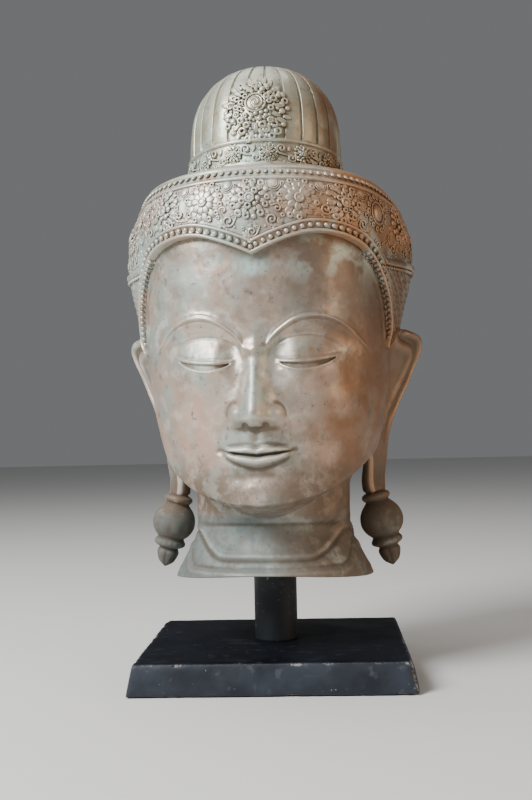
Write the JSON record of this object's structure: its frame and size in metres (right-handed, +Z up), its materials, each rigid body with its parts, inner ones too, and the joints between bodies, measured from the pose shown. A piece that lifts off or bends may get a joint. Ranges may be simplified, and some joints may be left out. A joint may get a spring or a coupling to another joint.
{
  "type": "crowned statue head on stand",
  "caption": "Cast bronze statue head with diadem, fluted topknot, long ears and drop earrings, held on a round post over a low black wooden plinth.",
  "frame": {"origin": "centre of the plinth's underside, in the plane that it stands on", "axes": "+Z up along the post, -Y to the front of the plinth, +X to the viewer's right; the head is turned 4.5 degrees on its post towards -X"},
  "size_m": [0.2567, 0.2426, 0.508],
  "materials": {
    "bronze": "satin, patinated grey-green and brown",
    "black_paint": "black paint over wood, worn at the edges"
  },
  "bodies": {
    "root": {"head": "bronze", "post": "black_paint", "plinth": "black_paint"}
  },
  "joints": []
}
